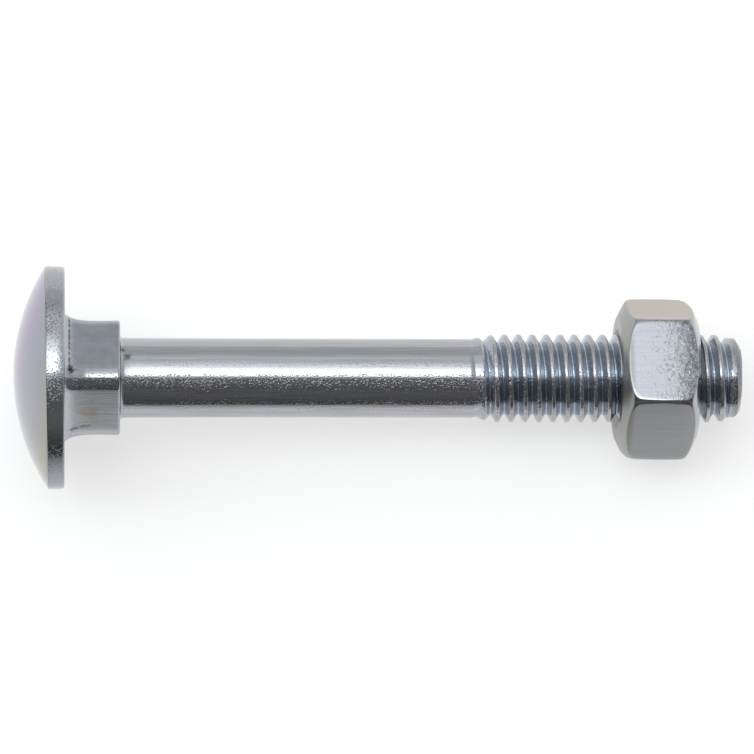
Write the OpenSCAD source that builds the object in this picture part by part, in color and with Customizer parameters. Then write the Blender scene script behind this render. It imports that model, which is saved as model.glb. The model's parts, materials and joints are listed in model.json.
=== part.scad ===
// A carriage bolt with its hex nut, lying on the floor as it comes to rest.
// Millimetres. X runs from the head to the tip, Z is up, and the floor is Z = 0.
// Each piece is drawn upright on the bolt's own axis, where 0 is the underside of the head and the tip
// is up, and is then laid down on the rim of its head and a flat of its nut.

/* [Head] */
// Diameter of the head
head_d = 19.8; // [16:0.1:24]
// Thickness of the rim of the head
rim_t = 1.58; // [1:0.01:3]
// Height of the dome above the rim
dome_h = 2.95; // [1.5:0.05:5]
// Rounding of the rim's lower edge
rim_round = 0.27; // [0.1:0.01:0.6]

/* [Square neck] */
// Width of the square neck across its flats
neck_w = 8.05; // [7.4:0.05:9]
// Length of the square neck below the head
neck_l = 4.88; // [4:0.01:8]
// Radius of the four long corners of the neck
neck_corner_r = 1.45; // [0.6:0.05:2]
// How far the neck flares out where it meets the head
flare_w = 0.6; // [0.3:0.05:1]
// How slowly that flare dies away along the neck
flare_fade = 0.68; // [0.3:0.02:0.9]
// How far each side of the neck is drawn in halfway along
neck_waist = 0.05; // [0:0.01:0.15]
// Rounding of the neck's end
neck_end_round = 0.25; // [0.1:0.01:0.5]
// Turn of the neck about the bolt's axis
neck_turn = 60; // [0:1:89]

/* [Shank] */
// Length of the bolt below the head
bolt_l = 60; // [57:0.5:100]
// Diameter of the plain shank, which is the blank that the thread is rolled from
shank_d = 7.05; // [6.6:0.01:7.4]
// Fillet between the neck and the shank
shank_fillet = 0.35; // [0.1:0.05:0.6]

/* [Thread] */
// Diameter over the crests of the thread
thread_d = 7.8; // [7.6:0.01:8.4]
// Distance from one crest to the next
pitch = 1.25; // [0.9:0.05:1.5]
// Length of the thread, measured back from the tip
thread_l = 23.9; // [20:0.1:26]
// Depth of the thread from crest to root
thread_depth = 0.7; // [0.4:0.01:0.75]
// Width of the flat on each crest
crest_w = 0.3; // [0.15:0.01:0.35]
// Length over which the thread rises out of the plain shank
run_out_l = 2; // [0.8:0.1:3]
// Length of the chamfer at the tip
tip_chamfer_l = 0.85; // [0.4:0.05:1.5]
// Diameter of the flat end of the bolt
tip_d = 6; // [5:0.1:6.2]
// Turn of the thread about the bolt's axis
thread_turn = 313; // [0:1:359]

/* [Nut] */
// Width of the nut across its flats
nut_af = 12.9; // [12:0.1:14]
// Height of the nut along the bolt
nut_h = 6.8; // [5:0.1:8]
// Depth of the corner chamfer at the middle of each flat
nut_chamfer = 0.4; // [0.1:0.01:0.5]
// Angle of the corner chamfer from the nut's faces
nut_chamfer_angle = 34; // [15:1:40]
// Distance from the underside of the head to the nut
grip = 49.25; // [42:0.05:50]
// Gap all round between the crests of the thread and the nut's bore
bore_gap = 0.1; // [0.05:0.01:0.3]
// Depth and width of the countersink at each end of the bore
countersink = 0.45; // [0.1:0.05:0.8]

/* [Hidden] */
steel = [0.72, 0.73, 0.76];
nut_steel = [0.66, 0.66, 0.69];
$fn = 96;

head_r = head_d / 2;
head_h = rim_t + dome_h;
dome_r = (head_r * head_r + dome_h * dome_h) / (2 * dome_h);
shank_r = shank_d / 2;
thread_r = thread_d / 2;
root_r = thread_r - thread_depth;
tip_r = tip_d / 2;
nut_apothem = nut_af / 2;
nut_corner_r = nut_apothem / cos(30);
bore_r = thread_r + bore_gap;
// How deep one solid runs into its neighbour so that they fuse into one
root_in = rim_t / 2;
thread_in = 0.4;

// The bolt lies on two places: the round of the rim, and the outer edge of the nut's lowest flat.
// Both are given as [distance along the bolt, distance from its axis].
rim_touch = [-rim_round, head_r - rim_round];
nut_touch = [grip + nut_h - nut_chamfer, nut_apothem];
touch_span = nut_touch - rim_touch;
lie_tilt = atan2(-touch_span[1], touch_span[0]) + asin(rim_round / norm(touch_span));
// Height of the middle of the head's underside
lie_z = rim_touch[0] * sin(lie_tilt) + rim_touch[1] * cos(lie_tilt) + rim_round;
// The crown and the tip are the two ends of the object, and the origin is midway between them
crown_x = (dome_r - head_h) * cos(lie_tilt) - dome_r;
tip_x = bolt_l * cos(lie_tilt) + tip_r * sin(lie_tilt);
lie_x = -(crown_x + tip_x) / 2;

// Points of a quarter round about a centre, from one angle to another
arc_steps = 6;
function arc(centre, r, from, to) =
    [for (i = [0:arc_steps])
        let (a = from + (to - from) * i / arc_steps)
        centre + r * [cos(a), sin(a)]];

// One ring of a rounded square at a height, grown outwards by an offset
function square_ring(half, corner_r, grow, z) =
    [for (side = [0:3])
        for (p = arc((half - corner_r) * [cos(90 * side + 45), sin(90 * side + 45)] * sqrt(2),
                     corner_r + grow, 90 * side, 90 * side + 90))
            [p[0], p[1], z]];

// A closed skin through rings that all have the same number of points
module skin(rings) {
    n = len(rings[0]);
    last = (len(rings) - 1) * n;
    walls = [for (k = [0:len(rings) - 2])
        for (i = [0:n - 1])
            let (a = k * n + i, b = k * n + (i + 1) % n)
            each [[a, a + n, b + n], [a, b + n, b]]];
    polyhedron(
        points = [for (ring = rings) each ring],
        faces = concat([[for (i = [0:n - 1]) i]], walls, [[for (i = [n - 1:-1:0]) last + i]]),
        convexity = 4);
}

// The low dome is cut from a sphere, and the rim below it from a cylinder with a rounded lower edge
module head() {
    rotate_extrude() intersection() {
        translate([0, dome_r - head_h]) circle(r = dome_r);
        polygon(concat(
            [[0, -2 * head_h], [head_r, -2 * head_h]],
            arc([head_r - rim_round, -rim_round], rim_round, 0, 90),
            [[0, 0]]));
    }
}

// How far the neck's sides stand out from a plain square at a height
function neck_grow(z) =
    let (over = max(0, z - neck_l + neck_end_round))
    flare_w * exp(-z / flare_fade)
        - neck_waist * sin(180 * z / neck_l)
        - neck_end_round + sqrt(neck_end_round * neck_end_round - over * over);

// The square neck, a loft that flares into the head, draws in a little and ends in a rounded edge
flare_steps = 6;
flare_l = 3.2 * flare_fade;
neck_levels = concat(
    [for (i = [0:flare_steps]) flare_l * pow(i / flare_steps, 1.5)],
    [(flare_l + neck_l) / 2],
    [for (i = [0:3]) neck_l - neck_end_round * (1 - sin(30 * i))]);
module square_neck() {
    rotate([0, 0, neck_turn]) skin(concat(
        [square_ring(neck_w / 2, neck_corner_r, flare_w, -root_in)],
        [for (z = neck_levels) square_ring(neck_w / 2, neck_corner_r, neck_grow(z), z)]));
}

// The plain shank, with its fillet against the end of the neck
thread_start = bolt_l - thread_l;
module shank() {
    foot_r = shank_r + shank_fillet;
    rotate_extrude() polygon(concat(
        [[0, -root_in], [foot_r, -root_in]],
        arc([foot_r, neck_l + shank_fillet], shank_fillet, 270, 180),
        [[shank_r, thread_start], [0, thread_start]]));
}

// The thread is one skin round the bolt. Each column of it, at one angle, holds the same four points of
// every turn (both edges of the crest and both edges of the root), and they climb by one pitch per turn.
columns = 36;
flank_w = thread_depth * tan(30);
turn_points = [
    [-crest_w / 2, thread_r],
    [crest_w / 2, thread_r],
    [crest_w / 2 + flank_w, root_r],
    [pitch - crest_w / 2 - flank_w, root_r]];
// Radius of the skin below the thread, just inside the shank
blank_r = shank_r - 0.02;
skin_bottom = thread_start - thread_in;
edge_gap = pitch / 50;
function point_z(column, row) =
    let (turn = floor(row / 4))
    thread_start + pitch * (turn + column / columns) + turn_points[row - 4 * turn][0];
function point_r(row, z) =
    let (full = turn_points[row - 4 * floor(row / 4)][1],
         risen = max(0, min(1, (z - thread_start) / run_out_l)),
         chamfer = tip_r + (thread_r - tip_r) * (bolt_l - z) / tip_chamfer_l)
    min(blank_r + (full - blank_r) * risen, chamfer);
row_limit = 4 * ceil(thread_l / pitch + 1);
function column_rows(column) =
    [for (row = [-8:row_limit])
        let (z = point_z(column, row))
        if (z > skin_bottom + edge_gap && z < bolt_l - edge_gap) row];
function column_points(column, rows) =
    let (way = [cos(360 * column / columns), sin(360 * column / columns)],
         rings = concat([[blank_r, skin_bottom]],
                        [for (row = rows) let (z = point_z(column, row)) [point_r(row, z), z]],
                        [[tip_r, bolt_l]]))
    [for (p = rings) [way[0] * p[0], way[1] * p[0], p[1]]];
// Faces between one column and the next. The next one starts lower and ends lower in its row numbers,
// so a fan closes each end of the strip.
// Each column is [number of its first point, its first row, its rows].
function strip_faces(a, b) =
    let (at = function(c, row) c[0] + 1 + row - c[1],
         a_last = a[1] + a[2] - 1,
         b_last = b[1] + b[2] - 1,
         a_low = at(a, a[1]),
         b_high = at(b, b_last))
    concat(
        [[a_low, b[0], a[0]]],
        [for (row = [b[1] - 1:1:a[1] - 1]) [a_low, at(b, row + 1), at(b, row)]],
        [for (row = [a[1]:1:b_last - 1])
            each [[at(a, row), at(a, row + 1), at(b, row + 1)],
                  [at(a, row), at(b, row + 1), at(b, row)]]],
        [for (row = [b_last:1:a_last]) [b_high, at(a, row), at(a, row + 1)]],
        [[b_high, a[0] + a[2] + 1, b[0] + b[2] + 1]]);
module thread() {
    rows = [for (column = [0:columns - 1]) column_rows(column)];
    skins = [for (column = [0:columns - 1]) column_points(column, rows[column])];
    starts = [for (column = 0, at = 0; column < columns;
                   at = at + len(skins[column]), column = column + 1) at];
    table = [for (column = [0:columns - 1]) [starts[column], rows[column][0], len(rows[column])]];
    // Past the last column comes the first again, one turn further up
    around = concat(table, [[table[0][0], table[0][1] - 4, table[0][2]]]);
    rotate([0, 0, thread_turn]) polyhedron(
        points = [for (points = skins) each points],
        faces = concat(
            [[for (c = table) c[0]]],
            [for (column = [0:columns - 1]) each strip_faces(around[column], around[column + 1])],
            [[for (i = [columns - 1:-1:0]) table[i][0] + table[i][2] + 1]]),
        convexity = 10);
}

module lying_down() {
    translate([lie_x, 0, lie_z]) rotate([0, 90 + lie_tilt, 0]) children();
}

module carriage_bolt() {
    color(steel) lying_down() union() {
        head();
        square_neck();
        shank();
        thread();
    }
}

// The nut's outline turned about its axis, which cuts the corners of the hexagon to a cone at each end
module nut_turning() {
    face_r = nut_apothem - nut_chamfer / tan(nut_chamfer_angle);
    corner_cut = (nut_corner_r - face_r) * tan(nut_chamfer_angle);
    rotate_extrude() polygon([
        [0, 0],
        [face_r, 0],
        [nut_corner_r, corner_cut],
        [nut_corner_r, nut_h - corner_cut],
        [face_r, nut_h],
        [0, nut_h]]);
}

// The bore clears the thread's crests, and opens in a countersink at each face
bore_over = 1;
module nut_bore() {
    mouth_r = bore_r + countersink;
    rotate_extrude() polygon([
        [0, -bore_over],
        [mouth_r + bore_over, -bore_over],
        [mouth_r, 0],
        [bore_r, countersink],
        [bore_r, nut_h - countersink],
        [mouth_r, nut_h],
        [mouth_r + bore_over, nut_h + bore_over],
        [0, nut_h + bore_over]]);
}

module hex_nut() {
    color(nut_steel) lying_down() translate([0, 0, grip]) difference() {
        intersection() {
            rotate([0, 0, 30]) cylinder(r = nut_corner_r, h = nut_h, $fn = 6);
            nut_turning();
        }
        nut_bore();
    }
}

carriage_bolt();
hex_nut();
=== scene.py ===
# %% [markdown]
# # A zinc-plated carriage bolt and its nut
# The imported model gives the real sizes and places, and this notebook dresses it: a forged bolt with a
# rolled thread, a hexagon nut near its end, and bright zinc on both. The frame is loaded first, because
# every piece is built on the bolt's own axis and then laid where that axis lies.
# %% Load the frame
import json
import math

import bmesh
import bpy
from mathutils import Matrix, Vector


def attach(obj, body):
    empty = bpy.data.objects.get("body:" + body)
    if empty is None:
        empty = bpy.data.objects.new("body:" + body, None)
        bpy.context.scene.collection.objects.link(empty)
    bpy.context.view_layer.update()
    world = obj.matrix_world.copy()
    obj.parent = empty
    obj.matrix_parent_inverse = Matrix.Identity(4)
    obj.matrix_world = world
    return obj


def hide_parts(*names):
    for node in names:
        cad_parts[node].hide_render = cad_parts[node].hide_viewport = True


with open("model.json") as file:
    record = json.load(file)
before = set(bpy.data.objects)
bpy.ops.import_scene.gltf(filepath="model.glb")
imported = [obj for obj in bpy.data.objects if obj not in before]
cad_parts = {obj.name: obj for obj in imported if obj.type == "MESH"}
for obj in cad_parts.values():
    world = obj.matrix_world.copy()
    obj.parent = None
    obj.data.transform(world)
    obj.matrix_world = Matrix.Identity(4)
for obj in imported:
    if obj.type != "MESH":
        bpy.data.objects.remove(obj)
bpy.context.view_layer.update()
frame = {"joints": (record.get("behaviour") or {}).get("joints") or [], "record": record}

# %% [markdown]
# ## The bolt's own frame
# A bolt is easiest to draw standing up: z runs from the underside of the head (0) to the tip, in
# millimetres. One matrix then scales it to metres and lays it down. Parenting to a tilted empty would do
# the same, but a finished piece sits at the origin with its place in its mesh. The axis is read from the
# record's joint and mounts, so that it has one source.
# %% One matrix from the bolt's own frame to the floor
MM = 0.001
BOLT_L = 60.0
mounts = {mount["name"]: mount for mount in frame["record"]["mounts"]}
axis = Vector(frame["joints"][0]["axis"]).normalized()
tip = Vector(mounts["threaded_end"]["pos_m"])
under_head = tip - axis * BOLT_L * MM
side = Vector((0.0, 1.0, 0.0))
down = side.cross(axis)
turned_down = Matrix((down, side, axis)).transposed().to_4x4()
LAY = Matrix.Translation(under_head) @ turned_down @ Matrix.Scale(MM, 4)
print("middle of the head's underside, in metres:", [round(c, 5) for c in under_head])

# %% [markdown]
# ## Ways round the bolt
# A direction square to the axis is one angle about it, measured from the way down to the floor. The
# photographer stood a little in front, which leans the way to the camera, and up in the picture is a
# quarter turn from there. Stains could be placed by x and y, but these two are what the picture shows.
# %% Name the directions
CAMERA_LEAN = math.radians(14.8)
FACING = math.pi + CAMERA_LEAN
IMAGE_UP = FACING - math.pi / 2


def way(angle):
    """The direction square to the axis, at an angle about it, in the bolt's own frame."""
    return Vector((math.cos(angle), math.sin(angle), 0.0))


print("the camera stands towards", [round(c, 3) for c in turned_down.to_3x3() @ way(FACING)])

# %% [markdown]
# ## The head
# The head is forged cold from the end of the wire: a low dome, a plain rim that narrows to its foot, as it
# has to leave the die, and a flat underside. Its section is one line, spun round the axis. The dome's arc
# could be a list of points, but spinning the crown's one vertex about the dome's centre gives a true arc.
# The die was worn, so the dome leans a degree to one side, which a small turn of the dome copies.
# %% Spin the head
NEAR = 1e-3
AROUND = 160
HEAD_R = 9.9
RIM_T = 1.58
RIM_TAPER = 0.07
RIM_ROUND = 0.25
SEAT_R = 7.0
DOME_H = 2.947
DOME_R = (HEAD_R ** 2 + DOME_H ** 2) / (2 * DOME_H)
DOME_STEPS = 28
DOME_EDGE_ROUND = 0.08
DOME_FOOT = -RIM_T + DOME_EDGE_ROUND + 0.02
DOME_LEAN = math.radians(0.95)


def round_corner(bm, vert, offset, steps):
    """Rounds one corner of a profile that is still a chain of edges."""
    bmesh.ops.bevel(
        bm, geom=[vert], offset=offset, offset_type="OFFSET", segments=steps, profile=0.5,
        affect="VERTICES", material=-1, clamp_overlap=False)


def rim_edges(bm, height):
    """The open edges that lie at one height."""
    return [e for e in bm.edges if e.is_boundary and all(abs(v.co.z - height) < NEAR for v in e.verts)]


def spin_head(bm):
    """Makes the head from its section and gives the open ring of its underside."""
    crown = bm.verts.new((0.0, 0.0, -RIM_T - DOME_H))
    arc = bmesh.ops.spin(
        bm, geom=[crown], cent=(0, 0, DOME_R - RIM_T - DOME_H), axis=(0, -1, 0),
        angle=math.asin(HEAD_R / DOME_R), steps=DOME_STEPS, use_merge=False)
    edge = next(g for g in arc["geom_last"] if isinstance(g, bmesh.types.BMVert))
    foot = bm.verts.new((HEAD_R - RIM_TAPER, 0.0, 0.0))
    seat = bm.verts.new((SEAT_R, 0.0, 0.0))
    bm.edges.new((edge, foot))
    bm.edges.new((foot, seat))
    round_corner(bm, edge, DOME_EDGE_ROUND, 3)
    round_corner(bm, foot, RIM_ROUND, 6)
    bmesh.ops.spin(
        bm, geom=bm.verts[:] + bm.edges[:], cent=(0, 0, 0), axis=(0, 0, 1), angle=2 * math.pi,
        steps=AROUND, use_merge=True)
    bmesh.ops.remove_doubles(bm, verts=bm.verts, dist=1e-4)
    lean = Matrix.Rotation(DOME_LEAN, 3, way(IMAGE_UP + math.pi / 2))
    dome = [v for v in bm.verts if v.co.z < DOME_FOOT]
    bmesh.ops.rotate(bm, verts=dome, cent=(0, 0, -RIM_T), matrix=lean)
    return rim_edges(bm, 0.0)


bolt_skin = bmesh.new()
head_ring = spin_head(bolt_skin)
print("head: dome radius", round(DOME_R, 2), "mm, faces", len(bolt_skin.faces))

# %% [markdown]
# ## Tools for ring upon ring
# Below the head, bolt and nut are stacks of rings. One tool gives the outline of a polygon with rounded
# corners, which serves the square neck and the hexagon, and the others extrude a ring and move it by a
# rule. Cutting blanks with boolean planes would give the same forms, but not one skin, grown ring by ring.
# %% Ring tools
def polygon_radius(angle, sides, apothem, corner):
    """Distance from the middle to a polygon with rounded corners, at an angle from one flat's middle."""
    half = math.pi / sides
    off = abs((angle + half) % (2 * half) - half)
    if math.tan(off) <= (apothem - corner) * math.tan(half) / apothem:
        return apothem / math.cos(off)
    centre = (apothem - corner) / math.cos(half)
    swing = off - half
    return centre * math.cos(swing) + math.sqrt(max(0.0, corner ** 2 - (centre * math.sin(swing)) ** 2))


def push(verts, rule):
    """Moves each vertex to the radius and height that the rule gives for its angle, radius and height."""
    for v in verts:
        angle = math.atan2(v.co.y, v.co.x)
        radius, height = rule(angle, math.hypot(v.co.x, v.co.y), v.co.z)
        v.co = (radius * math.cos(angle), radius * math.sin(angle), height)


def extrude_ring(bm, ring, rule):
    """Extrudes a ring of edges, moves the new vertices by the rule and gives the new ring."""
    made = bmesh.ops.extrude_edge_only(bm, edges=ring)["geom"]
    push([g for g in made if isinstance(g, bmesh.types.BMVert)], rule)
    return [g for g in made if isinstance(g, bmesh.types.BMEdge)]


def circle_at(radius, height):
    """A rule that puts a ring on a circle."""
    return lambda angle, old, z: (radius, height)


print("an 8 mm square reaches", round(polygon_radius(math.pi / 4, 4, 4.0, 1.45), 2), "mm at its corners")

# %% [markdown]
# ## The square neck
# Under the head the die squeezes the wire into a square, which bites into timber and stops the bolt
# turning. It flares into the head, draws in a little halfway along, and ends in a soft edge. A bevelled
# cube could stand for it, but it would have to be stitched to a round head. Extruding the head's own ring,
# and pushing each copy to a rounded square, keeps the bolt in one closed skin.
# %% Raise the neck from the head's ring
NECK_APOTHEM = 4.025
NECK_L = 4.88
NECK_CORNER = 1.45
NECK_TURN = math.radians(60)
NECK_WAIST = 0.05
NECK_END_ROUND = 0.25
FLARE_W = 0.6
FLARE_FADE = 0.68
FLARE_L = 2.4
FLARE_RINGS = 14
FLARE_CROWD = 1.6
NECK_RINGS = 5


def neck_grow(z):
    """How far the neck's sides stand out from a plain square at a height."""
    over = max(0.0, z - NECK_L + NECK_END_ROUND)
    return (FLARE_W * math.exp(-z / FLARE_FADE) - NECK_WAIST * math.sin(math.pi * z / NECK_L)
            - NECK_END_ROUND + math.sqrt(NECK_END_ROUND ** 2 - over ** 2))


def square_at(height):
    """A rule that puts a ring on the neck's square."""
    grow = neck_grow(height)
    return lambda angle, radius, z: (
        polygon_radius(angle - NECK_TURN, 4, NECK_APOTHEM + grow, NECK_CORNER + grow), height)


def raise_neck(bm, ring):
    """Extrudes the neck, with close rings in the flare and at its end."""
    flare = [FLARE_L * (i / FLARE_RINGS) ** FLARE_CROWD for i in range(FLARE_RINGS + 1)]
    plain = [FLARE_L + (NECK_L - NECK_END_ROUND - FLARE_L) * i / NECK_RINGS for i in range(1, NECK_RINGS)]
    turns = [math.pi / 2 * i / NECK_RINGS for i in range(NECK_RINGS + 1)]
    end = [NECK_L - NECK_END_ROUND * (1 - math.sin(turn)) for turn in turns]
    for z in flare + plain + end:
        ring = extrude_ring(bm, ring, square_at(z))
    return ring


neck_ring = raise_neck(bolt_skin, head_ring)
print("neck:", NECK_L, "mm long, faces so far", len(bolt_skin.faces))

# %% [markdown]
# ## The plain shank
# The shank is the wire as it was drawn, a hair thicker near the neck, where forging upset it. It could be
# a cylinder joined to the neck. Instead it grows out of a small fillet in the neck's end, with only a few
# rings, because it is straight.
# %% Draw the shank out of the neck
SHANK_R = 3.51
SHANK_FILLET = 0.35
FILLET_RINGS = 6
UPSET = 0.04
UPSET_FADE = 6.0
THREAD_L = 24.4
THREAD_START = BOLT_L - THREAD_L
SHANK_END = THREAD_START - 0.3
SHANK_HEIGHTS = (6.5, 9.0, 13.0, 19.0, 27.0, SHANK_END - 1.5, SHANK_END)


def draw_shank(bm, ring):
    """Extrudes the fillet and the shank, up to just before the thread."""
    for i in range(FILLET_RINGS + 1):
        turn = math.pi / 2 * i / FILLET_RINGS
        radius = SHANK_R + UPSET + SHANK_FILLET * (1 - math.sin(turn))
        ring = extrude_ring(bm, ring, circle_at(radius, NECK_L + SHANK_FILLET * (1 - math.cos(turn))))
    for z in SHANK_HEIGHTS:
        radius = SHANK_R + UPSET * math.exp(-(z - NECK_L) / UPSET_FADE)
        ring = extrude_ring(bm, ring, circle_at(radius, z))
    return ring


shank_ring = draw_shank(bolt_skin, neck_ring)
print("shank: edges in its last ring", len(shank_ring), "at", round(SHANK_END, 1), "mm")

# %% [markdown]
# ## Winding a thread
# A screw surface is one outline, a single turn tall, carried round and upwards at once: a spin with a
# lift. Each turn is then copied a pitch higher and merged to the last. The Screw modifier does this too,
# but the mesh is wanted here, because its ends are shaped before it is joined. The outline runs from root
# to root over one crest, with flanks of 30 degrees as on every metric thread.
# %% Wind and cut a thread
PITCH = 1.25
FLANK = math.tan(math.radians(30))
THREAD_TURN = math.radians(201)


def thread_outline(crest_r, root_r, crest_half):
    """One pitch of a thread, from root to root, as pairs of radius and height."""
    flank = abs(crest_r - root_r) * FLANK
    return [(root_r, -PITCH / 2), (root_r, -crest_half - flank), (crest_r, -crest_half),
            (crest_r, crest_half), (root_r, crest_half + flank), (root_r, PITCH / 2)]


def wind_thread(bm, outline, first, turns, around, rounding):
    """Spins an outline one turn round while it climbs one pitch, then stacks that turn."""
    verts = [bm.verts.new((r, 0.0, z)) for r, z in outline]
    for pair in zip(verts, verts[1:]):
        bm.edges.new(pair)
    for v in verts[1:-1]:
        round_corner(bm, v, rounding, 3)
    bmesh.ops.spin(
        bm, geom=bm.verts[:] + bm.edges[:], cent=(0, 0, 0), axis=(0, 0, 1), angle=2 * math.pi,
        dvec=(0, 0, PITCH / around), steps=around, use_merge=False)
    one_turn = bm.verts[:] + bm.edges[:] + bm.faces[:]
    for turn in range(1, turns):
        copy = bmesh.ops.duplicate(bm, geom=one_turn)["geom"]
        bmesh.ops.translate(
            bm, verts=[g for g in copy if isinstance(g, bmesh.types.BMVert)], vec=(0, 0, PITCH * turn))
    bmesh.ops.translate(bm, verts=bm.verts, vec=(0, 0, first))
    bmesh.ops.rotate(bm, verts=bm.verts, cent=(0, 0, 0), matrix=Matrix.Rotation(THREAD_TURN, 3, "Z"))
    bmesh.ops.remove_doubles(bm, verts=bm.verts, dist=2e-3)


def cut_off(bm, height, keep_above):
    """Cuts an open skin at one height and drops what lies past it."""
    bmesh.ops.bisect_plane(
        bm, geom=bm.verts[:] + bm.edges[:] + bm.faces[:], dist=1e-4, plane_co=(0, 0, height),
        plane_no=(0, 0, 1), clear_inner=keep_above, clear_outer=not keep_above)


print("a sharp thread of this pitch would be", round(PITCH / 2 / FLANK, 3), "mm deep")

# %% [markdown]
# ## The rolled thread
# Rolling dies press the thread into a shank of its mean diameter, so its crests stand above the plain
# part. It rises over a few turns, and at the tip the dies run out: the last groove fades, the last crest
# isn't filled, and a cone takes off the edge. Sculpting would do for one bolt. Here a rule gives the
# radius for each angle and height, as the smallest of those forms with a soft edge between them.
# %% Roll the bolt's thread
THREAD_R = 3.92
THREAD_DEPTH = 0.7
CREST_W = 0.3
ROUNDING = 0.07
RUN_OUT = 3.0
TIP_R = 3.0
TIP_SLOPE = 1.4
TIP_ROUND = 0.22
TIP_SOFT = 0.05
LAST_GROOVE_FROM = 1.25
LAST_GROOVE_TO = 0.65
LAST_CREST_R = 3.35
LAST_CREST_SLOPE = 0.3
LAST_CREST_SOFT = 0.03


def soft_min(a, b, width):
    """The smaller of two lengths, rounded over where they are about equal."""
    low, high = min(a, b), max(a, b)
    return low - width * math.log1p(math.exp(-(high - low) / width))


def rolled(radius, z):
    """The wound thread, sunk into the shank at its start and faded into a plain land at the tip."""
    risen = min(1.0, max(0.0, (z - THREAD_START) / RUN_OUT))
    risen = risen * risen * (3 - 2 * risen)
    from_end = max(0.0, BOLT_L - z)
    kept = min(1.0, max(0.0, (from_end - LAST_GROOVE_TO) / (LAST_GROOVE_FROM - LAST_GROOVE_TO)))
    return THREAD_R + (SHANK_R + (radius - SHANK_R) * risen - THREAD_R) * kept


def filled(angle, z):
    """How far out the metal filled the dies, which falls short at the last crest."""
    climbed = PITCH * (angle - THREAD_TURN) / (2 * math.pi)
    off_crest = (z - THREAD_START - climbed + PITCH / 2) % PITCH - PITCH / 2
    return LAST_CREST_R + LAST_CREST_SLOPE * max(0.0, max(0.0, BOLT_L - z) + off_crest)


def tip_cone(z):
    """The cone that takes off the thread's end, with a rounded edge at the flat."""
    from_end = max(0.0, BOLT_L - z)
    soft = max(0.0, 1 - from_end / TIP_ROUND)
    return TIP_R + TIP_SLOPE * from_end - TIP_ROUND * (1 - math.sqrt(1 - soft ** 2))


def bolt_thread():
    """The bolt's thread as an open skin, from its start to the flat of the tip."""
    bm = bmesh.new()
    outline = thread_outline(THREAD_R, THREAD_R - THREAD_DEPTH, CREST_W / 2)
    turns = math.ceil(THREAD_L / PITCH) + 3
    wind_thread(bm, outline, THREAD_START - 2 * PITCH, turns, AROUND, ROUNDING)
    push(bm.verts, lambda angle, radius, z: (
        soft_min(soft_min(rolled(radius, z), filled(angle, z), LAST_CREST_SOFT), tip_cone(z), TIP_SOFT), z))
    cut_off(bm, THREAD_START, keep_above=True)
    cut_off(bm, BOLT_L, keep_above=False)
    return bm


thread_skin = bolt_thread()
print("thread:", round(THREAD_L / PITCH, 1), "turns, faces", len(thread_skin.faces))

# %% [markdown]
# ## One closed skin
# The thread's first edge is bridged to the shank's last, and the flat end is filled. A boolean union would
# do it too, but it would leave slivers where thread and shank graze each other. A bmesh takes another one
# in through a mesh, which is removed again.
# %% Join the thread to the shank
def join_thread(bm, thread):
    """Takes the thread's skin into the bolt's and closes both gaps."""
    holder = bpy.data.meshes.new("thread_turns")
    thread.to_mesh(holder)
    thread.free()
    bm.from_mesh(holder)
    bpy.data.meshes.remove(holder)
    bmesh.ops.bridge_loops(bm, edges=rim_edges(bm, SHANK_END) + rim_edges(bm, THREAD_START))
    bmesh.ops.holes_fill(bm, edges=rim_edges(bm, BOLT_L), sides=0)


join_thread(bolt_skin, thread_skin)
print("bolt: open edges", sum(1 for e in bolt_skin.edges if e.is_boundary), "faces", len(bolt_skin.faces))

# %% [markdown]
# ## The nut's inside thread
# A tap cuts the nut's thread. Its outline is the bolt's with some play, so the roots of one take the
# crests of the other, and the same tool winds it. Each mouth of the bore is then pushed out to a
# countersink. A plain dark hole could pass in the main view, but from the tip's side the turns show.
# %% Tap the nut
NUT_H = 6.95
GRIP = 49.1
BORE_R = 4.02
NUT_CREST_R = 3.45
THREAD_PLAY = 0.1
COUNTERSINK = 0.45
MOUTH_R = BORE_R + COUNTERSINK
TAP_AROUND = 120


def countersunk(angle, radius, z):
    """A rule that opens the bore to a cone at both faces of the nut."""
    depth = max(0.0, min(z - GRIP, GRIP + NUT_H - z))
    return max(radius, MOUTH_R - depth), z


def nut_thread():
    """The nut's thread as an open skin between its two faces."""
    bm = bmesh.new()
    root_half = CREST_W / 2 + (THREAD_R - BORE_R) * FLANK + THREAD_PLAY
    outline = thread_outline(BORE_R, NUT_CREST_R, root_half)
    turns_below = math.floor((GRIP - THREAD_START) / PITCH) - 2
    turns = math.ceil(NUT_H / PITCH) + 5
    wind_thread(bm, outline, THREAD_START + turns_below * PITCH, turns, TAP_AROUND, ROUNDING / 2)
    push(bm.verts, countersunk)
    cut_off(bm, GRIP, keep_above=True)
    cut_off(bm, GRIP + NUT_H, keep_above=False)
    return bm


nut_skin = nut_thread()
print("nut thread: faces", len(nut_skin.faces))

# %% [markdown]
# ## The nut's hexagon
# A nut like this is pressed cold to a hexagon, and its two ends are drawn in to a cone that turns steep at
# the corners, which leaves each flat with round corners. Cutting a turned blank with six planes gives
# knife-sharp edges. Pushing rings to the smaller of hexagon and cone, with a soft minimum, gives the worn
# edge of a plated nut. The rings have more points near the corners, where the shape turns, and the flats
# fall away slightly towards the outer end. The nut has play on its thread, so it sits a little askew.
# %% Press the nut
NUT_APOTHEM = 6.45
NUT_CORNER = 0.3
NUT_AROUND = 288
CORNER_CROWD = 0.12
FACE_R = 5.55
FACE_INNER_R = FACE_R - 0.25
MOUTH_EDGE_R = MOUTH_R + 0.12
CONE_SLOPE = 2.12
CONE_TOP = 7.3
CONE_TOP_SLOPE = 0.04
CONE_SOFT = 0.38
EDGE_SOFT = 0.03
DRAWN_IN = 0.07
DRAWN_L = 2.3
END_L = 1.7
END_RINGS = 30
END_CROWD = 1.3
WALL_SHARES = (0.3, 0.38, 0.46)
NUT_TILT = math.radians(0.6)
NUT_DROP = 0.06


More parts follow.
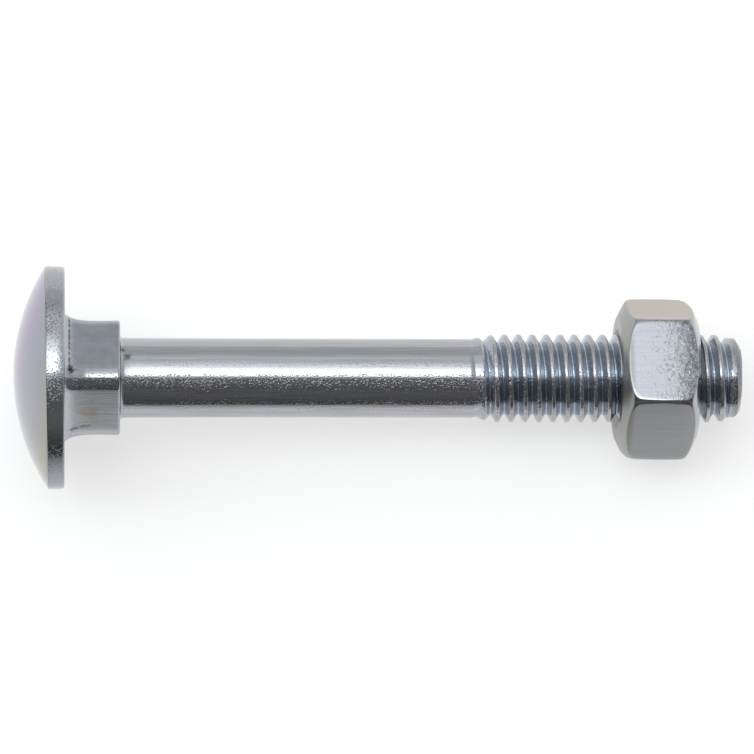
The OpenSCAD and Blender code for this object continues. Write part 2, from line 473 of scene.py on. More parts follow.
def nut_side(depth, height):
    """A rule for one ring of the nut's outside, at a depth below the nearer face."""
    cone = soft_min(FACE_R + CONE_SLOPE * depth, CONE_TOP + CONE_TOP_SLOPE * depth, CONE_SOFT)
    fall = max(0.0, (height - GRIP - NUT_H + DRAWN_L) / DRAWN_L)
    apothem = NUT_APOTHEM - DRAWN_IN * fall ** 2
    return lambda angle, radius, z: (
        soft_min(polygon_radius(angle, 6, apothem, NUT_CORNER), cone, EDGE_SOFT), height)


def mouth_ring(bm):
    """A circle round the first mouth, with its points crowded towards the hexagon's corners."""
    verts = bmesh.ops.create_circle(bm, cap_ends=False, segments=NUT_AROUND, radius=1.0)["verts"]
    for v in verts:
        angle = math.atan2(v.co.y, v.co.x)
        crowded = angle + CORNER_CROWD * math.sin(6 * angle)
        v.co = way(crowded) * MOUTH_EDGE_R + Vector((0, 0, GRIP))
    return list({e for v in verts for e in v.link_edges})


def press_nut(bm):
    """Adds the outside to the nut's thread, from the first mouth round to the second."""
    top = GRIP + NUT_H
    mouths = [rim_edges(bm, GRIP), rim_edges(bm, top)]
    first = mouth_ring(bm)
    depths = [END_L * (i / END_RINGS) ** END_CROWD for i in range(END_RINGS + 1)]
    depths += [NUT_H * share for share in WALL_SHARES]
    ring = extrude_ring(bm, first, circle_at(FACE_INNER_R, GRIP))
    for depth in depths:
        ring = extrude_ring(bm, ring, nut_side(depth, GRIP + depth))
    for depth in reversed(depths):
        ring = extrude_ring(bm, ring, nut_side(depth, top - depth))
    ring = extrude_ring(bm, ring, circle_at(FACE_INNER_R, top))
    last = extrude_ring(bm, ring, circle_at(MOUTH_EDGE_R, top))
    bmesh.ops.bridge_loops(bm, edges=mouths[0] + first)
    bmesh.ops.bridge_loops(bm, edges=mouths[1] + last)
    middle = Vector((0, 0, GRIP + NUT_H / 2))
    bmesh.ops.rotate(bm, verts=bm.verts, cent=middle, matrix=Matrix.Rotation(-NUT_TILT, 3, way(FACING)))
    bmesh.ops.translate(bm, verts=bm.verts, vec=-way(IMAGE_UP) * NUT_DROP)


press_nut(nut_skin)
print("nut: open edges", sum(1 for e in nut_skin.edges if e.is_boundary), "faces", len(nut_skin.faces))

# %% [markdown]
# ## Colours and nodes
# A finish is a small tree of nodes. One function adds any node by its type, sets it and links it, so each
# node below is one statement. Building trees in the editor is quicker once, but a tree in code can be read
# and made again. Colours are sRGB hex values, as a colour picker shows them, and one function turns them
# to the renderer's linear values.
# %% Colour and node helpers
def rgb(hex_code):
    """An sRGB hex value as linear colour."""
    parts = [int(hex_code[i:i + 2], 16) / 255 for i in (1, 3, 5)]
    return [p / 12.92 if p <= 0.04045 else ((p + 0.055) / 1.055) ** 2.4 for p in parts] + [1.0]


def add(tree, kind, settings=None, links=None):
    """Adds a node, sets its sockets, properties or ramp stops, and links outputs to its sockets."""
    node = tree.nodes.new(kind)
    for key, value in (settings or {}).items():
        if key == "stops":
            # A new ramp has two stops, which become the first and the last
            elements = node.color_ramp.elements
            for i, (position, colour) in enumerate((value[0], value[-1], *value[1:-1])):
                stop = elements[i] if i < 2 else elements.new(position)
                stop.position, stop.color = position, colour
        elif isinstance(key, int) or key in node.inputs:
            node.inputs[key].default_value = value
        else:
            setattr(node, key, value)
    for key, output in (links or {}).items():
        tree.links.new(output, node.inputs[key])
    return node


def new_material(name):
    """An empty material and its tree."""
    material = bpy.data.materials.new(name)
    material.use_nodes = True
    material.node_tree.nodes.clear()
    return material, material.node_tree


print("bluish-white zinc as linear colour:", [round(c, 3) for c in rgb("#aeb3b9")])

# %% [markdown]
# ## Places and patches
# Film, wear and dirt belong to places. Object coordinates are metres on the floor, so a Mapping node turns
# them back into the bolt's own frame. A patch is made of bands: each follows one length, such as the
# height along the bolt, through stops of millimetres and strength, and the bands multiply. Painting would
# need a picture for each patch, and bands need none. Every tint is laid over the last.
# %% Bands, patches and stains
def on_the_bolt(tree):
    """The bolt's own coordinates in millimetres: the place, and its lengths down, aside and along."""
    place = add(tree, "ShaderNodeTexCoord")
    back = LAY.inverted()
    turned = add(tree, "ShaderNodeMapping", {
        "vector_type": "POINT", "Location": back.to_translation(), "Rotation": back.to_euler(),
        "Scale": [1 / MM] * 3}, {"Vector": place.outputs["Object"]})
    here = turned.outputs["Vector"]
    split = add(tree, "ShaderNodeSeparateXYZ", None, {"Vector": here})
    return {"here": here, "down": split.outputs["X"], "side": split.outputs["Y"],
            "along": split.outputs["Z"]}


def patch(tree, *bands):
    """How strongly a patch shows: each band carries a value through its stops, and the bands multiply."""
    strengths = []
    for value, stops in bands:
        low, high = stops[0][0], stops[-1][0]
        peak = max(strength for _, strength in stops)
        share = add(tree, "ShaderNodeMapRange", {"From Min": low, "From Max": high}, {"Value": value})
        curve = add(tree, "ShaderNodeValToRGB", {"stops": [
            ((at - low) / (high - low), (*[strength / peak] * 3, 1.0)) for at, strength in stops]},
            {"Fac": share.outputs["Result"]})
        band = add(tree, "ShaderNodeMath", {"operation": "MULTIPLY", 1: peak}, {0: curve.outputs["Color"]})
        strengths.append(band.outputs["Value"])
    total, *others = strengths
    for other in others:
        product = add(tree, "ShaderNodeMath", {"operation": "MULTIPLY"}, {0: total, 1: other})
        total = product.outputs["Value"]
    return total


def lay_over(tree, colour, *patches):
    """Carries a colour towards each tint; sockets 0, 6 and 7 are the share and the two colours."""
    for strength, tint in patches:
        mixed = add(tree, "ShaderNodeMix", {"data_type": "RGBA", 7: rgb(tint)}, {0: strength, 6: colour})
        colour = mixed.outputs[2]
    return colour


def stain(tree, here, along, image_up, towards_camera, size):
    """A stain at one point of the surface, as wide as its size, with a ragged edge."""
    centre = way(FACING) * towards_camera + way(IMAGE_UP) * image_up + Vector((0, 0, along))
    away = add(tree, "ShaderNodeVectorMath", {"operation": "DISTANCE", 1: centre}, {0: here})
    ragged = add(tree, "ShaderNodeTexNoise", {"Scale": 1.5 / size, "Detail": 4.0, "Roughness": 0.7},
                 {"Vector": here})
    near = add(tree, "ShaderNodeMath", {"operation": "MULTIPLY_ADD", 1: 3.0 * size},
               {0: ragged.outputs["Fac"], 2: away.outputs["Value"]})
    return patch(tree, (near.outputs["Value"], ((1.7 * size, 1.0), (2.4 * size, 0.0))))


print("turned back by degrees:", [round(math.degrees(turn), 2) for turn in LAY.inverted().to_euler()])

# %% [markdown]
# ## Bright zinc plate
# Electroplated zinc with a clear passivation is a bluish-white metal, duller than chrome. A metal in
# Principled BSDF needs a base colour, metallic at 1 and a low roughness, and it keeps the default IOR.
# What makes it read as plated forging is its fine grain: pits that break up the edge of each reflection,
# with soil in them, and the long marks of drawing. They could be cut into the mesh, but bump costs no
# triangles. Real pits are finer: these are as coarse as they have to be to show.
# %% Pits and drawn marks
GRAIN_MM = 0.17
PIT_LEVELS = (0.55, 0.78)
GRAIN_SHARE = 0.2
DRAWN_MM = 0.16
DRAWN_STRETCH = 0.03
STREAK_LEVELS = (0.35, 0.65)
STREAK_SHARE = 0.35
STREAK_TINT = "#7d8084"
SOIL_SHARE = 0.2
SOIL_TINT = "#4c4f52"


def pitted_skin(tree, here, pitted, depth_mm):
    """The grain of formed steel: the strength of its pits, and a bumped normal."""
    grain = add(tree, "ShaderNodeTexNoise", {"Scale": 1 / GRAIN_MM, "Detail": 2.0, "Roughness": 0.55},
                {"Vector": here})
    pits = add(tree, "ShaderNodeMapRange", {"From Min": PIT_LEVELS[0], "From Max": PIT_LEVELS[1]},
               {"Value": grain.outputs["Fac"]})
    skin = add(tree, "ShaderNodeMath", {"operation": "MULTIPLY_ADD", 1: GRAIN_SHARE},
               {0: grain.outputs["Fac"], 2: pits.outputs["Result"]})
    relief = add(tree, "ShaderNodeMath", {"operation": "MULTIPLY"}, {0: skin.outputs["Value"], 1: pitted})
    dents = add(tree, "ShaderNodeBump", {"Strength": 1.0, "Distance": -depth_mm * MM},
                {"Height": relief.outputs["Value"]})
    return pits.outputs["Result"], dents.outputs["Normal"]


def drawn_marks(tree, here, drawn, height_mm, normal):
    """The marks of drawing, stretched along the bolt: their strength, and a bumped normal."""
    stretched = add(tree, "ShaderNodeVectorMath", {"operation": "MULTIPLY", 1: (1.0, 1.0, DRAWN_STRETCH)},
                    {0: here})
    lines = add(tree, "ShaderNodeTexNoise", {"Scale": 1 / DRAWN_MM, "Detail": 2.0, "Roughness": 0.5},
                {"Vector": stretched.outputs["Vector"]})
    relief = add(tree, "ShaderNodeMath", {"operation": "MULTIPLY"}, {0: lines.outputs["Fac"], 1: drawn})
    marks = add(tree, "ShaderNodeBump", {"Strength": 1.0, "Distance": height_mm * MM},
                {"Height": relief.outputs["Value"], "Normal": normal})
    streaks = add(tree, "ShaderNodeMapRange", {
        "From Min": STREAK_LEVELS[0], "From Max": STREAK_LEVELS[1], "To Max": STREAK_SHARE},
        {"Value": lines.outputs["Fac"]})
    return streaks.outputs["Result"], marks.outputs["Normal"]


print("grain of", GRAIN_MM, "mm, drawn marks of", DRAWN_MM, "by", round(DRAWN_MM / DRAWN_STRETCH, 1), "mm")


# %% Put the zinc together
def zinc(tree, here, colour, pitted, pit_mm, drawn, drawn_mm, dulled, roughness):
    """Bright zinc over formed steel, between two roughnesses that a dulled share chooses from."""
    pits, normal = pitted_skin(tree, here, pitted, pit_mm)
    lines, normal = drawn_marks(tree, here, drawn, drawn_mm, normal)
    streaks = add(tree, "ShaderNodeMath", {"operation": "MULTIPLY"}, {0: lines, 1: drawn})
    deep = add(tree, "ShaderNodeMath", {"operation": "MULTIPLY"}, {0: pits, 1: pitted})
    soil = add(tree, "ShaderNodeMath", {"operation": "MULTIPLY", 1: SOIL_SHARE}, {0: deep.outputs["Value"]})
    colour = lay_over(
        tree, colour, (streaks.outputs["Value"], STREAK_TINT), (soil.outputs["Value"], SOIL_TINT))
    rough = add(tree, "ShaderNodeMapRange", {"To Min": roughness[0], "To Max": roughness[1]},
                {"Value": dulled})
    shader = add(tree, "ShaderNodeBsdfPrincipled", {"Metallic": 1.0}, {
        "Base Color": colour, "Roughness": rough.outputs["Result"], "Normal": normal})
    add(tree, "ShaderNodeOutputMaterial", None, {"Surface": shader.outputs["BSDF"]})


print("streaks tint the metal by", STREAK_SHARE, "at most, and soil by", SOIL_SHARE)

# %% [markdown]
# ## The film on the bolt
# The clear passivation is a film so thin that it shows interference colours where it is thicker: on the
# dome from straw at the lower edge over grey and blue to pink at the upper one. Elsewhere the zinc is a
# plain bluish white. A thin-film shader would work them out from a thickness. Here they are laid into the
# metal's own colour, where each one can be matched to the picture.
# %% Film colours
CLOUD_MM = 6.0
FILM_CLOUDS = 0.4
FILM_PER_MM = 0.03
PLAIN_FILM = ((0.3, "#aeb3b9"), (0.5, "#b1b3b5"), (0.7, "#b4b2ba"))
DOME_FILM = ((0.2, "#9b9a8d"), (0.32, "#a3a195"), (0.42, "#a0a0a1"), (0.53, "#a0a2a8"), (0.66, "#9ea2ad"),
             (0.8, "#a29bb0"), (0.95, "#a298a8"))


def bolt_places(tree):
    """What the bolt's patches follow: its own lengths, clouds, up, out and the height on the dome."""
    at = on_the_bolt(tree)
    clouds = add(tree, "ShaderNodeTexNoise", {"Scale": 1 / CLOUD_MM, "Detail": 2.0, "Roughness": 0.5},
                 {"Vector": at["here"]})
    up = add(tree, "ShaderNodeVectorMath", {"operation": "DOT_PRODUCT", 1: way(IMAGE_UP)}, {0: at["here"]})
    flat = add(tree, "ShaderNodeVectorMath", {"operation": "MULTIPLY", 1: (1.0, 1.0, 0.0)}, {0: at["here"]})
    out = add(tree, "ShaderNodeVectorMath", {"operation": "LENGTH"}, {0: flat.outputs["Vector"]})
    leaning = way(IMAGE_UP) * math.tan(DOME_LEAN) + Vector((0, 0, 1))
    dome = add(tree, "ShaderNodeVectorMath", {"operation": "DOT_PRODUCT", 1: leaning}, {0: at["here"]})
    return at | {"clouds": clouds.outputs["Fac"], "up": up.outputs["Value"], "out": out.outputs["Value"],
                 "dome": dome.outputs["Value"]}


def film(tree, at):
    """The bolt's base colour: a run of colours on the dome, and plain zinc on the rest."""
    plain = add(tree, "ShaderNodeValToRGB", {"stops": [(share, rgb(tint)) for share, tint in PLAIN_FILM]},
                {"Fac": at["clouds"]})
    crown = add(tree, "ShaderNodeMath", {"operation": "MULTIPLY_ADD", 1: FILM_CLOUDS},
                {0: at["clouds"], 2: patch(tree, (at["along"], ((-4.6, 0.66), (-1.6, 0.32))))})
    thickness = add(tree, "ShaderNodeMath", {"operation": "MULTIPLY_ADD", 1: FILM_PER_MM},
                    {0: at["side"], 2: crown.outputs["Value"]})
    dome = add(tree, "ShaderNodeValToRGB", {"stops": [(share, rgb(tint)) for share, tint in DOME_FILM]},
               {"Fac": thickness.outputs["Value"]})
    on_dome = patch(tree, (at["dome"], ((-RIM_T - 0.03, 1.0), (-RIM_T, 0.0))))
    return add(tree, "ShaderNodeMix", {"data_type": "RGBA"}, {
        0: on_dome, 6: plain.outputs["Color"], 7: dome.outputs["Color"]}).outputs[2]


# Bright zinc on forged steel: mirror-like between its pits, with a faint play of colour
bolt_zinc, bolt_tree = new_material("bright zinc plate on forged steel")
on_bolt = bolt_places(bolt_tree)
bolt_colour = film(bolt_tree, on_bolt)
print("film:", len(DOME_FILM), "colours on the dome, nodes", len(bolt_tree.nodes))

# %% [markdown]
# ## Painted shade, wear and tint on the bolt
# The rim's ends on either side of its highlight are painted darker, which is painted shade, and the rim is
# worn dark along the edge of the dome. The neck keeps a thicker, bluish-grey film with a mottle in it, the
# thread's grooves are bluer than its crests, and the land at the tip is darker. These could be separate
# materials on separate faces, but then every change would be a hard line. As patches they fade into one
# another.
# %% Tints of rim, neck, thread and tip
MOTTLE_MM = 0.909


def rim_shade_and_wear_patches(tree, at):
    """Painted shade on the rim's two ends beside its highlight, and the worn line between rim and dome."""
    # Painted shade: both ends of the rim, beside its highlight, are painted darker
    dimmer = patch(tree, (at["along"], ((-1.62, 0.0), (-1.58, 1.0), (-0.1, 1.0), (0.0, 0.0))),
                 (at["side"], ((-7.6, 1.0), (-6.2, 0.0), (3.2, 0.0), (4.6, 0.5), (9.9, 0.5))))
    worn = patch(tree, (at["dome"], ((-RIM_T - 0.06, 0.0), (-RIM_T, 0.6), (-RIM_T + 0.06, 0.0))))
    return (dimmer, "#93969a"), (worn, "#606367")


def neck_patches(tree, at):
    """The thicker film on the neck, strongest on its far half, and the mottle in it."""
    neck = ((at["along"], ((0.1, 0.0), (0.8, 1.0), (4.75, 1.0), (4.9, 0.0))),
            (at["side"], ((-0.5, 0.1), (0.2, 1.0))))
    mottle = add(tree, "ShaderNodeTexNoise", {"Scale": 1 / MOTTLE_MM, "Detail": 5.0, "Roughness": 0.6},
                 {"Vector": at["here"]})
    mottled = patch(tree, *neck, (mottle.outputs["Fac"], ((0.4, 0.0), (0.62, 0.5))))
    return (patch(tree, *neck), "#a3a7b1"), (mottled, "#8f9299")


def thread_patches(tree, at):
    """The bluer grooves of the thread, and the darker land at its tip."""
    groove = patch(tree, (at["out"], ((3.5, 1.0), (3.87, 0.0))), (at["along"], (
        (THREAD_START, 0.0), (THREAD_START + 2.0, 1.0), (BOLT_L - 1.3, 1.0), (BOLT_L - 0.9, 0.0))))
    tip_land = patch(tree, (at["along"], ((BOLT_L - 0.9, 0.0), (BOLT_L - 0.3, 0.8))))
    return (groove, "#adb6c1"), (tip_land, "#73767a")


bolt_tints = (*rim_shade_and_wear_patches(bolt_tree, on_bolt), *neck_patches(bolt_tree, on_bolt),
              *thread_patches(bolt_tree, on_bolt))
bolt_colour = lay_over(bolt_tree, bolt_colour, *bolt_tints)
print("tints laid over the film:", len(bolt_tints), "nodes", len(bolt_tree.nodes))

# %% [markdown]
# ## Dark specks and stains on the bolt
# Dark specks lie in a broken ring in the corner between head and neck and in a slanting line where the
# neck's flare ends, and a few spots of old scale stain the bolt. Ambient occlusion could darken such
# corners, but it would darken them all alike. Each is placed one by one instead, and noise breaks it into
# specks.
# %% Dark specks at the neck and four stains
SPECK_MM = 0.4545
DARK_SPECK_TINT = "#3c3f44"
SPECK_STOPS = ((0.4, 0.1), (0.54, 0.8))
ARC_SLANT = 0.22
# Millimetres along the bolt, up in the picture and towards the camera, then each stain's size and tint
STAINS = (
    (5.05, 2.5, 2.7, 0.5, "#53565a"),
    (5.45, 1.85, 3.1, 0.5, "#63666a"),
    (0.5, 0.75, 5.3, 0.6, "#303236"),
    (2.4, -2.9, 2.7, 1.5, "#a8a49d"))


def dark_speck_patches(tree, at):
    """Dark specks: a broken ring at the foot of the neck, and a slanting arc on its lower flat."""
    specks = add(tree, "ShaderNodeTexNoise", {"Scale": 1 / SPECK_MM, "Detail": 2.0, "Roughness": 0.6},
                 {"Vector": at["here"]})
    broken = (specks.outputs["Fac"], SPECK_STOPS)
    ring = patch(tree, broken, (at["along"], ((0.26, 0.0), (0.36, 1.0), (0.42, 1.0), (0.52, 0.0))),
                 (at["up"], ((0.0, 0.0), (0.6, 1.0))))
    slanting = add(tree, "ShaderNodeMath", {"operation": "MULTIPLY_ADD", 1: -ARC_SLANT},
                   {0: at["along"], 2: at["up"]})
    across = ((-4.86, 0.0), (-4.74, 1.0), (-4.64, 1.0), (-4.5, 0.0))
    arc = patch(tree, broken, (slanting.outputs["Value"], across),
                (at["along"], ((0.15, 0.0), (0.4, 1.2), (1.5, 1.2), (2.6, 0.0))))
    return (ring, DARK_SPECK_TINT), (arc, DARK_SPECK_TINT)


bolt_stains = [(stain(bolt_tree, on_bolt["here"], *place), tint) for *place, tint in STAINS]
bolt_colour = lay_over(bolt_tree, bolt_colour, *dark_speck_patches(bolt_tree, on_bolt), *bolt_stains)
print("dirt and", len(STAINS), "stains, nodes", len(bolt_tree.nodes))

# %% [markdown]
# ## Pits and drawn marks on the bolt
# Forging leaves pits where the metal was worked: on the rim, on the neck's corner, in two bands along the
# shank and in the thread. The dome was pressed against a polished die and is nearly smooth. One even grain
# all over would be simpler and look like sandblasting. The marks of drawing run along the shank, and the
# die scraped deeper ones into the neck's lower flat.
# %% Pits, marks and the finished zinc
PIT_MM = 0.012
DRAWN_HEIGHT_MM = 0.003
BOLT_ROUGHNESS = (0.08, 0.12)


def pit_patches(tree, at):
    """Where pits lie on the head, on the neck's corner, on the shank and on the thread."""
    head = patch(
        tree, (at["dome"], ((-RIM_T - 0.03, 0.12), (-RIM_T, 2.4), (-0.2, 2.4), (-0.05, 0.6), (0.5, 0.12))),
        (at["up"], ((-6.5, 1.0), (-5.5, 0.5), (-2.2, 0.6), (-1.2, 1.3), (-0.2, 1.5), (0.8, 1.0), (3.2, 1.0),
                    (4.0, 2.2), (6.6, 2.2), (7.4, 1.0), (9.9, 1.0))))
    corner = patch(tree, (at["up"], ((-1.1, 0.0), (-0.8, 1.0), (0.9, 1.0), (1.2, 0.0))),
                   (at["along"], ((0.4, 0.0), (0.8, 2.4), (4.6, 2.4), (4.8, 0.0))))
    shank = patch(
        tree, (at["along"], ((4.8, 0.0), (5.1, 1.0), (36.0, 1.0), (37.0, 0.0))),
        (at["up"], ((-3.6, 0.1), (-2.5, 0.7), (-1.4, 0.8), (-0.4, 1.7), (0.2, 1.8), (0.38, 0.1), (1.0, 0.1),
                    (1.2, 0.8), (1.5, 0.6), (1.8, 0.1), (3.6, 0.1))))
    thread = patch(
        tree, (at["along"], ((36.0, 0.0), (37.0, 1.5), (BOLT_L - 1.2, 1.5), (BOLT_L - 0.8, 2.6))))
    return head, corner, shank, thread


def pitted_places(tree, at):
    """All pits together, with more of them in some clouds than in others."""
    total, *others = pit_patches(tree, at)
    for other in others:
        total = add(tree, "ShaderNodeMath", {"operation": "ADD"}, {0: total, 1: other}).outputs["Value"]
    cloudy = patch(tree, (at["clouds"], ((0.35, 0.7), (0.65, 1.5))))
    return add(tree, "ShaderNodeMath", {"operation": "MULTIPLY"}, {0: total, 1: cloudy}).outputs["Value"]


def drawn_places(tree, at):
    """The shank and, scraped deeper, the near half of the neck."""
    shank = patch(tree, (at["along"], ((4.8, 0.0), (5.2, 0.6))))
    neck = patch(tree, (at["side"], ((-1.8, 1.1), (-1.2, 0.08))), (at["along"], ((0.2, 0.0), (0.7, 1.0))))
    return add(tree, "ShaderNodeMath", {"operation": "MAXIMUM"}, {0: shank, 1: neck}).outputs["Value"]


zinc(bolt_tree, on_bolt["here"], bolt_colour, pitted_places(bolt_tree, on_bolt), PIT_MM,
     drawn_places(bolt_tree, on_bolt), DRAWN_HEIGHT_MM, on_bolt["clouds"], BOLT_ROUGHNESS)
print("bolt's zinc:", len(bolt_tree.nodes), "nodes")

# %% [markdown]
# ## The nut's zinc
# The nut has the same plate on pressed steel. Its film is straw-coloured on the far side, its end towards
# the head came out of the die dull, and its top flat is scuffed towards the other end, where a spanner
# took hold. The bolt's material could serve both, but its patches lie at other places, so the nut has its
# own tree.
# %% The nut's finish
NUT_PIT_MM = 0.016
NUT_ROUGHNESS = (0.09, 0.35)
SCUFF_MM = 0.2857
NUT_FILM = ((0.0, "#9d9e9f"), (0.24, "#b1b2b5"), (0.3, "#aeb0b6"), (0.72, "#aeb0b6"), (0.83, "#a59d8f"))
NUT_STAIN = (54.4, 4.4, 5.0, 1.3)


def scuffs(tree, at, on_top):
    """Scuff marks on the top flat, which grow denser towards the outer end."""
    scratched = add(tree, "ShaderNodeTexNoise", {"Scale": 1 / SCUFF_MM, "Detail": 5.0, "Roughness": 0.7},
                    {"Vector": at["here"]})
    denser = patch(tree, (at["along"], ((GRIP + 1.5, 0.0), (GRIP + 6.2, 0.18))))
    level = add(tree, "ShaderNodeMath", {"operation": "ADD"}, {0: scratched.outputs["Fac"], 1: denser})
    return patch(tree, (level.outputs["Value"], ((0.62, 0.0), (0.72, 0.7))), on_top)


def nut_finish(tree):
    """The nut's film, dull inner end, stain and scuffs, over the same zinc."""
    at = on_the_bolt(tree)
    film_run = add(tree, "ShaderNodeValToRGB", {"stops": [(share, rgb(tint)) for share, tint in NUT_FILM]},
                   {"Fac": patch(tree, (at["side"], ((-7.0, 0.0), (7.0, 1.0))))})
    dull_end = patch(tree, (at["along"], ((GRIP + 0.7, 1.0), (GRIP + 1.1, 0.0))))
    on_top = (at["down"], ((-6.3, 1.0), (-6.1, 0.0)))
    colour = lay_over(
        tree, film_run.outputs["Color"], (dull_end, "#a2a3a0"),
        (stain(tree, at["here"], *NUT_STAIN), "#969ba2"), (scuffs(tree, at, on_top), "#6a6b70"))
    pitted = patch(tree, on_top, (at["along"], ((GRIP + 3.6, 0.1), (GRIP + 4.9, 0.9))))
    brushed = patch(tree, (at["along"], ((GRIP, 0.4), (GRIP + NUT_H, 0.4))))
    zinc(tree, at["here"], colour, pitted, NUT_PIT_MM, brushed, 0.0, dull_end, NUT_ROUGHNESS)


# Bright zinc on a pressed nut: the same mirror, with a satin inner end and a scuffed flat
nut_zinc, nut_tree = new_material("bright zinc plate on a pressed nut")
nut_finish(nut_tree)
print("nut's zinc:", len(nut_tree.nodes), "nodes")

# %% [markdown]
# ## Bolt and nut in the frame
# Each skin is laid down by the matrix and given its finish. Smooth shading is right for rolled metal, and
# only edges sharper than a chosen angle stay crisp. An Edge Split would do that by tearing the skin, so
# the edges are marked instead. The piece then rides on its body and stands for its CAD node.
# %% Lay both pieces down
SHARP = math.radians(38)


def mark_sharp(bm):
    """Shades every face smooth and marks the edges that stay crisp."""
    for face in bm.faces:
        face.smooth = True
    for e in bm.edges:
        e.smooth = not (e.is_manifold and e.calc_face_angle(0.0) > SHARP)


def into_scene(name, bm, material):
    """Makes a skin a mesh object of the scene, with its finish."""
    mesh = bpy.data.meshes.new(name)
    bm.to_mesh(mesh)
    bm.free()
    mesh.materials.append(material)
    made = bpy.data.objects.new(name, mesh)
    bpy.context.scene.collection.objects.link(made)
    return made


def lay_piece(name, bm, body, node, material):
    """Lays a finished skin down as a piece that stands for a CAD node."""
    bmesh.ops.recalc_face_normals(bm, faces=bm.faces)
    mark_sharp(bm)
    volume = bm.calc_volume(signed=True)
    bm.transform(LAY)
    piece = into_scene(name, bm, material)
    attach(piece, body)
    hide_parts(node)
    triangles = sum(len(p.vertices) - 2 for p in piece.data.polygons)
    print(name, "has", triangles, "triangles and", round(volume, 1), "mm3")


lay_piece("bolt_forging", bolt_skin, "bolt", "carriage_bolt", bolt_zinc)
lay_piece("nut_pressing", nut_skin, "nut", "hex_nut", nut_zinc)

# %% [markdown]
# ## The table
# A plain pale table stands under the bolt: matt paint, which gives the eye a soft shadow and nothing else.
# A little light of its own lifts it to the white of the picture, for the camera and in every mirror-like
# surface alike, so the bolt's underside shows that white. Brighter lamps would do it too, but they would
# burn out the metal.
# %% Floor
FLOOR_HALF = 1.5
FLOOR_LIFT = 0.6
FLOOR_COLOUR = "#bcbbba"


def paint_floor():
    """Matt paint, lifted only for the camera and for reflections."""
    material, tree = new_material("matt white table paint")
    path = add(tree, "ShaderNodeLightPath")
    seen = add(tree, "ShaderNodeMath", {"operation": "MAXIMUM"},
               {0: path.outputs["Is Camera Ray"], 1: path.outputs["Is Glossy Ray"]})
    also = add(tree, "ShaderNodeMath", {"operation": "MAXIMUM"},
               {0: seen.outputs["Value"], 1: path.outputs["Is Transmission Ray"]})
    lift = add(tree, "ShaderNodeMath", {"operation": "MULTIPLY", 1: FLOOR_LIFT}, {0: also.outputs["Value"]})
    shader = add(tree, "ShaderNodeBsdfPrincipled", {
        "Base Color": rgb(FLOOR_COLOUR), "Roughness": 0.9, "Specular IOR Level": 0.0,
        "Emission Color": rgb("#ffffff")}, {"Emission Strength": lift.outputs["Value"]})
    add(tree, "ShaderNodeOutputMaterial", None, {"Surface": shader.outputs["BSDF"]})
    return material


def lay_sheet(name, material, x, y, z):
    """A flat sheet between two lengths and two widths, at one height."""
    bm = bmesh.new()
    bmesh.ops.create_grid(bm, x_segments=1, y_segments=1, size=0.5)
    bmesh.ops.scale(bm, verts=bm.verts, vec=(x[1] - x[0], y[1] - y[0], 1.0))
    bmesh.ops.translate(bm, verts=bm.verts, vec=(sum(x) / 2, sum(y) / 2, z))
    sheet = into_scene(name, bm, material)
    return sheet


table = lay_sheet("table", paint_floor(), (-FLOOR_HALF, FLOOR_HALF), (-FLOOR_HALF, FLOOR_HALF), 0.0)
print("table:", [round(c, 2) for c in table.dimensions], "m")

# %% [markdown]
# ## Studio light
# Bright metal has hardly a colour of its own: it shows the room. So the room is described by direction, as
# a photographer would build it. The far side is a pale wall, the camera's side is left dark, and a soft
# box hangs overhead, bright above the bolt and turned down towards the far side. Lamps and cards could
# stand for these, but written into the world they light the table and show in the metal alike. Each stop
# is an angle from straight up towards the far side, and a level that is 1 where white paint is white.
# %% The studio as a world
WALLS = ((-110, 0.12), (-84, 0.12), (-68, 0.165), (-54, 0.17), (-43, 0.14), (-26, 0.2), (-17, 0.21),
         (-12, 0.6), (60, 0.65), (78, 0.7), (92, 0.82), (110, 0.9))
WALL_SIDES = ((-0.9, 0.6), (-0.3, 1.0), (0.3, 1.0), (0.6, 1.2))
SOFT_BOX = ((-12, 0.0), (-7, 3.1), (4, 3.1), (14, 1.4), (25, 0.73), (35, 0.26), (46, 0.38), (60, 0.0))
BOX_END = ((0.15, 1.0), (0.25, 0.0))
BOX_TINT = "#f4faff"


def build_world():
    """The walls and the soft box, each a patch over the angle and over the way along the bolt."""
    world = bpy.data.worlds.new("studio")
    bpy.context.scene.world = world
    world.use_nodes = True
    tree = world.node_tree
    tree.nodes.clear()
    look = add(tree, "ShaderNodeTexCoord")
    split = add(tree, "ShaderNodeSeparateXYZ", None, {"Vector": look.outputs["Generated"]})
    turn = add(tree, "ShaderNodeMath", {"operation": "ARCTAN2"},
               {0: split.outputs["Y"], 1: split.outputs["Z"]})
    degrees = add(tree, "ShaderNodeMath", {"operation": "MULTIPLY", 1: math.degrees(1.0)},
                  {0: turn.outputs["Value"]})
    angle, along = degrees.outputs["Value"], split.outputs["X"]
    walls = add(tree, "ShaderNodeBackground", {"Color": rgb("#ffffff")},
                {"Strength": patch(tree, (angle, WALLS), (along, WALL_SIDES))})
    box = add(tree, "ShaderNodeBackground", {"Color": rgb(BOX_TINT)},
              {"Strength": patch(tree, (angle, SOFT_BOX), (along, BOX_END))})
    both = add(tree, "ShaderNodeAddShader", None,
               {0: walls.outputs["Background"], 1: box.outputs["Background"]})
    add(tree, "ShaderNodeOutputWorld", None, {"Surface": both.outputs["Shader"]})
    return world


studio = build_world()
print("studio:", len(studio.node_tree.nodes), "nodes")

# %% [markdown]
# ## A dark cloth
# A dark cloth lies on the table in front, just out of the picture, and gives the shank its dark band. Only
# reflections see it, so that it neither shades the table nor spoils another view. Darkening the metal
# would be wrong from every other side. Its edge beside the bolt is feathered, which softens the band.
# %% Dark cloth for the reflections
CLOTH_HALF_L = 0.5
CLOTH_LIFT = 0.0002
CLOTH_EDGE = (-0.02, -0.072)
CLOTH_COLOUR = "#595755"


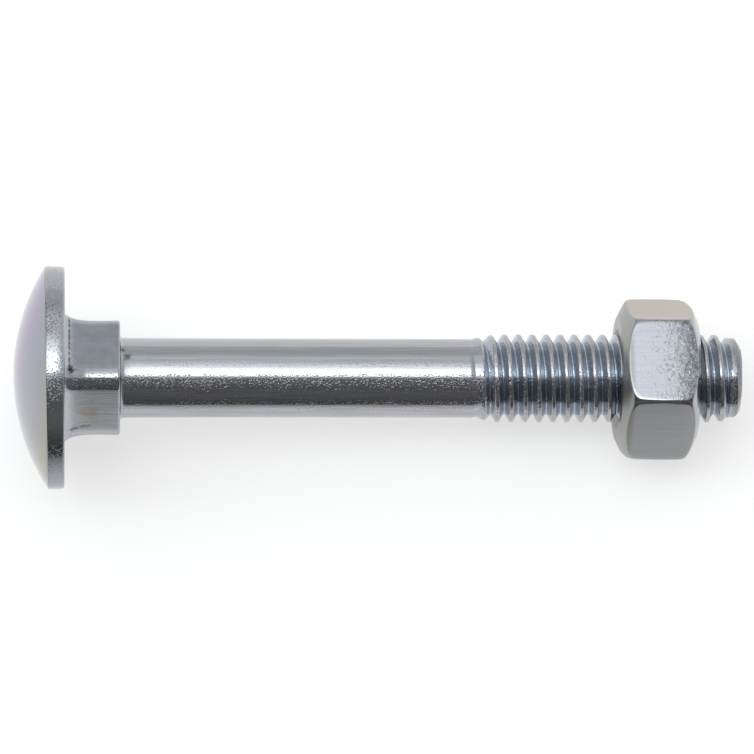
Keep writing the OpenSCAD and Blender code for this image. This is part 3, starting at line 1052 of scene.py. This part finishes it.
def dye_cloth():
    """Dark cloth, clear at its edge beside the bolt; a dim glow of its own keeps it one even grey."""
    material, tree = new_material("dark cloth")
    place = add(tree, "ShaderNodeTexCoord")
    split = add(tree, "ShaderNodeSeparateXYZ", None, {"Vector": place.outputs["Object"]})
    feather = add(tree, "ShaderNodeMapRange", {"From Min": CLOTH_EDGE[0], "From Max": CLOTH_EDGE[1]},
                  {"Value": split.outputs["Y"]})
    clear = add(tree, "ShaderNodeBsdfTransparent")
    dark = add(tree, "ShaderNodeEmission", {"Color": rgb(CLOTH_COLOUR)})
    mixed = add(tree, "ShaderNodeMixShader", None, {
        0: feather.outputs["Result"], 1: clear.outputs["BSDF"], 2: dark.outputs["Emission"]})
    add(tree, "ShaderNodeOutputMaterial", None, {"Surface": mixed.outputs["Shader"]})
    return material


cloth = lay_sheet(
    "dark cloth", dye_cloth(), (-CLOTH_HALF_L, CLOTH_HALF_L), (-FLOOR_HALF, CLOTH_EDGE[0]), CLOTH_LIFT)
cloth.visible_camera = False
cloth.visible_diffuse = False
cloth.visible_shadow = False
cloth.visible_transmission = False
print("cloth: clear", -CLOTH_EDGE[0], "m in front of the bolt, full at", -CLOTH_EDGE[1], "m")

# %% [markdown]
# ## Camera
# The picture was taken from above, a little from the front, from under half a metre with a long lens. The
# camera stands straight over the head, whose rim is seen exactly edge-on, and looks at the middle of the
# bolt, so the nut is seen slightly from the left. It is rolled until the bolt lies level in the picture.
# A Track To constraint could aim it, but the roll would need another, so it gets one matrix.
# %% Camera
CAMERA_DISTANCE = 0.455
STANDS_OVER = -0.5
LOOKS_AT = 27.7
PICTURE_PIXELS = 754
MM_PER_PIXEL = 0.0887
SENSOR = 36.0
ROLL = math.radians(0.084)
RISE = 0.1


def make_camera():
    """A camera over the head that looks at the bolt's middle, rolled with the bolt."""
    data = bpy.data.cameras.new("camera")
    data.sensor_width = SENSOR
    data.lens = SENSOR * CAMERA_DISTANCE / (PICTURE_PIXELS * MM_PER_PIXEL * MM)
    data.clip_start = 0.01
    camera = bpy.data.objects.new("camera", data)
    bpy.context.scene.collection.objects.link(camera)
    stand = LAY @ (way(FACING) * CAMERA_DISTANCE / MM + Vector((0, 0, STANDS_OVER)))
    back = (stand - LAY @ Vector((0, 0, LOOKS_AT))).normalized()
    level = (axis - back * axis.dot(back)).normalized()
    upright = back.cross(level)
    along = level * math.cos(ROLL) + upright * math.sin(ROLL)
    up = upright * math.cos(ROLL) - level * math.sin(ROLL)
    aim = Matrix((along, up, back)).transposed().to_4x4()
    camera.matrix_world = Matrix.Translation(stand + up * RISE * MM) @ aim
    bpy.context.scene.camera = camera
    print("lens", round(data.lens, 1), "mm, camera at", [round(c, 4) for c in stand])


make_camera()
bpy.context.scene.view_settings.view_transform = "Standard"
